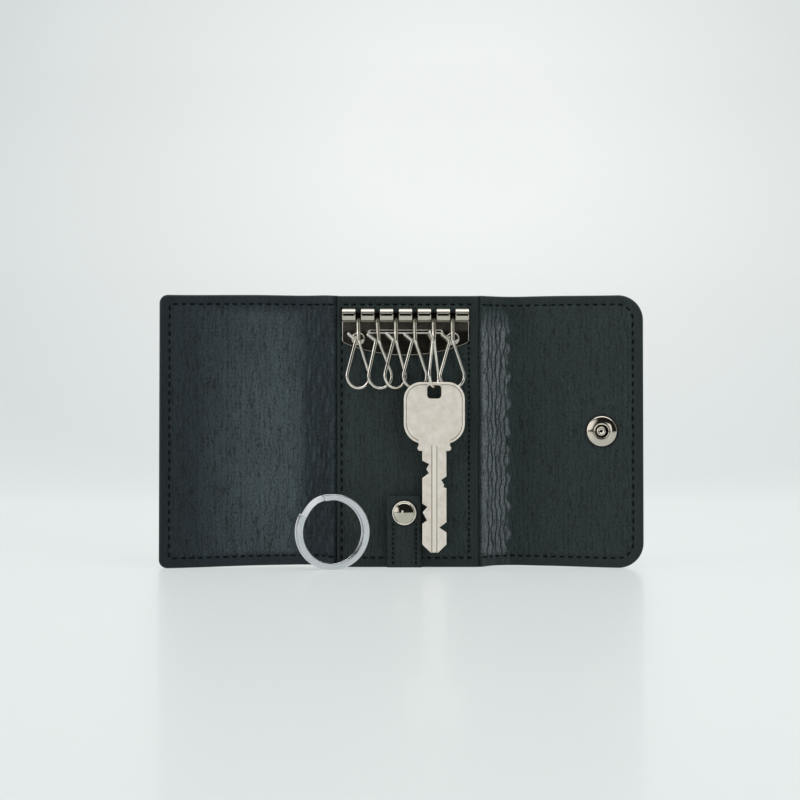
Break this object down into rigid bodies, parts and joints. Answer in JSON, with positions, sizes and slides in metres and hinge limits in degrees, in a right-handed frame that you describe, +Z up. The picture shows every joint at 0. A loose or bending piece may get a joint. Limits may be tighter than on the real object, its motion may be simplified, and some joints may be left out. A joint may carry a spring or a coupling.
{
  "type": "key case",
  "caption": "Tri-fold leather key case standing open, with wire hooks on a plate, a key on one hook, a snap strap, a closing snap and a split ring.",
  "frame": {"origin": "middle of the centre panel's bottom edge, half way through its outer leather", "axes": "+X to the right along the centre panel, +Y to the back, +Z up; the inside of the open case faces -Y"},
  "size_m": [0.1717, 0.0222, 0.0967],
  "materials": {
    "cover_leather": "pebbled satin",
    "lining_leather": "pebbled satin",
    "fold_leather": "creased satin",
    "board": "matt",
    "plate_nickel": "polished",
    "wire_nickel": "polished",
    "hidden_steel": "satin",
    "key_metal": "satin, warm silver",
    "snap_nickel": "polished",
    "ring_steel": "brushed flat faces"
  },
  "bodies": {
    "centre": {"centre_cover": "cover_leather", "centre_board": "board", "centre_lining": "lining_leather", "hook_plate": "plate_nickel", "hook_rod": "wire_nickel", "rivet_left": "plate_nickel", "rivet_right": "plate_nickel", "rivet_washers": "hidden_steel", "strap_foot": "lining_leather", "strap_stud": "snap_nickel", "strap_stud_washer": "hidden_steel"},
    "left_fold": {"left_fold_cover": "fold_leather", "left_fold_lining": "fold_leather"},
    "left_flap": {"left_flap_cover": "cover_leather", "left_flap_board": "board", "left_flap_lining": "lining_leather", "closing_socket": "snap_nickel", "closing_socket_washer": "hidden_steel"},
    "right_fold": {"right_fold_cover": "fold_leather", "right_fold_lining": "fold_leather"},
    "right_flap": {"right_flap_cover": "cover_leather", "right_flap_board": "board", "right_flap_lining": "lining_leather", "closing_stud": "snap_nickel", "closing_stud_washer": "hidden_steel"},
    "swivel_1": {"swivel_1": "wire_nickel"},
    "swivel_2": {"swivel_2": "wire_nickel"},
    "swivel_3": {"swivel_3": "wire_nickel"},
    "swivel_4": {"swivel_4": "wire_nickel"},
    "swivel_5": {"swivel_5": "wire_nickel"},
    "swivel_6": {"swivel_6": "wire_nickel"},
    "hook_1": {"hook_1": "wire_nickel"},
    "hook_2": {"hook_2": "wire_nickel"},
    "hook_3": {"hook_3": "wire_nickel"},
    "hook_4": {"hook_4": "wire_nickel"},
    "hook_5": {"hook_5": "wire_nickel"},
    "hook_6": {"hook_6": "wire_nickel"},
    "key": {"key": "key_metal"},
    "strap": {"strap": "lining_leather", "strap_cap": "snap_nickel", "strap_socket": "snap_nickel"},
    "ring": {"split_ring": "ring_steel"}
  },
  "joints": [
    {"name": "left_fold", "type": "hinge", "parent": "centre", "child": "left_fold", "pos_m": [-0.02675, -0.0007, 0.04835], "axis": [0, 0, 1], "range_deg": [-9, 108.5]},
    {"name": "left_flap_fold", "type": "hinge", "parent": "left_fold", "child": "left_flap", "pos_m": [-0.03898, 0.00339, 0.04835], "axis": [0, 0, 1], "range_deg": [-5.11, 60.5]},
    {"name": "right_fold", "type": "hinge", "parent": "centre", "child": "right_fold", "pos_m": [0.02675, -0.0007, 0.04835], "axis": [0, 0, -1], "range_deg": [-6, 103.5]},
    {"name": "right_flap_fold", "type": "hinge", "parent": "right_fold", "child": "right_flap", "pos_m": [0.04386, 0.00341, 0.04835], "axis": [0, 0, -1], "range_deg": [-3.76, 63.2]},
    {"name": "hook_1_swing", "type": "hinge", "parent": "centre", "child": "swivel_1", "pos_m": [-0.01755, -0.00427, 0.0897], "axis": [1, 0, 0], "range_deg": [-75, 0]},
    {"name": "hook_2_swing", "type": "hinge", "parent": "centre", "child": "swivel_2", "pos_m": [-0.01085, -0.00427, 0.0897], "axis": [1, 0, 0], "range_deg": [-75, 0]},
    {"name": "hook_3_swing", "type": "hinge", "parent": "centre", "child": "swivel_3", "pos_m": [-0.00415, -0.00427, 0.0897], "axis": [1, 0, 0], "range_deg": [-75, 0]},
    {"name": "hook_4_swing", "type": "hinge", "parent": "centre", "child": "swivel_4", "pos_m": [0.00255, -0.00427, 0.0897], "axis": [1, 0, 0], "range_deg": [-75, 0]},
    {"name": "hook_5_swing", "type": "hinge", "parent": "centre", "child": "swivel_5", "pos_m": [0.00925, -0.00427, 0.0897], "axis": [1, 0, 0], "range_deg": [-75, 0]},
    {"name": "hook_6_swing", "type": "hinge", "parent": "centre", "child": "swivel_6", "pos_m": [0.01595, -0.00427, 0.0897], "axis": [1, 0, 0], "range_deg": [-75, 0]},
    {"name": "hook_1_turn", "type": "hinge", "parent": "swivel_1", "child": "hook_1", "pos_m": [-0.01755, -0.00427, 0.0897], "axis": [0, 0.026, 0.9997], "range_deg": [-3, 3]},
    {"name": "hook_2_turn", "type": "hinge", "parent": "swivel_2", "child": "hook_2", "pos_m": [-0.01085, -0.00427, 0.0897], "axis": [-0.0488, 0.0036, 0.9988], "range_deg": [-3, 3]},
    {"name": "hook_3_turn", "type": "hinge", "parent": "swivel_3", "child": "hook_3", "pos_m": [-0.00415, -0.00427, 0.0897], "axis": [0.014, 0.0501, 0.9986], "range_deg": [-3, 3]},
    {"name": "hook_4_turn", "type": "hinge", "parent": "swivel_4", "child": "hook_4", "pos_m": [0.00255, -0.00427, 0.0897], "axis": [0, 0, 1], "range_deg": [-3, 3]},
    {"name": "hook_5_turn", "type": "hinge", "parent": "swivel_5", "child": "hook_5", "pos_m": [0.00925, -0.00427, 0.0897], "axis": [0, 0.1242, 0.9923], "range_deg": [-3, 3]},
    {"name": "hook_6_turn", "type": "hinge", "parent": "swivel_6", "child": "hook_6", "pos_m": [0.01595, -0.00427, 0.0897], "axis": [0.007, 0, 1], "range_deg": [-3, 3]},
    {"name": "key_swing", "type": "hinge", "parent": "hook_5", "child": "key", "pos_m": [0.00935, -0.00713, 0.06377], "axis": [0, 1, 0], "range_deg": [-25, 10]},
    {"name": "strap_fold", "type": "hinge", "parent": "centre", "child": "strap", "pos_m": [-0.00125, -0.00284, 0.0047], "axis": [-1, 0, 0], "range_deg": [-85, 0]},
    {"name": "ring_shift", "type": "hinge", "parent": "centre", "child": "ring", "pos_m": [-0.014, -0.06565, 0.0132], "axis": [0, 0, -1], "range_deg": [-1.34, 15.1]}
  ],
  "couplings": [
    {"joint": "left_flap_fold", "follows": "left_fold", "ratio": 0.55668},
    {"joint": "right_flap_fold", "follows": "right_fold", "ratio": 0.60966},
    {"joint": "hook_2_swing", "follows": "hook_1_swing", "ratio": 1},
    {"joint": "hook_3_swing", "follows": "hook_1_swing", "ratio": 1},
    {"joint": "hook_4_swing", "follows": "hook_1_swing", "ratio": 1},
    {"joint": "hook_5_swing", "follows": "hook_1_swing", "ratio": 1},
    {"joint": "hook_6_swing", "follows": "hook_1_swing", "ratio": 1},
    {"joint": "ring_shift", "follows": "left_fold", "ratio": 0.13825}
  ]
}
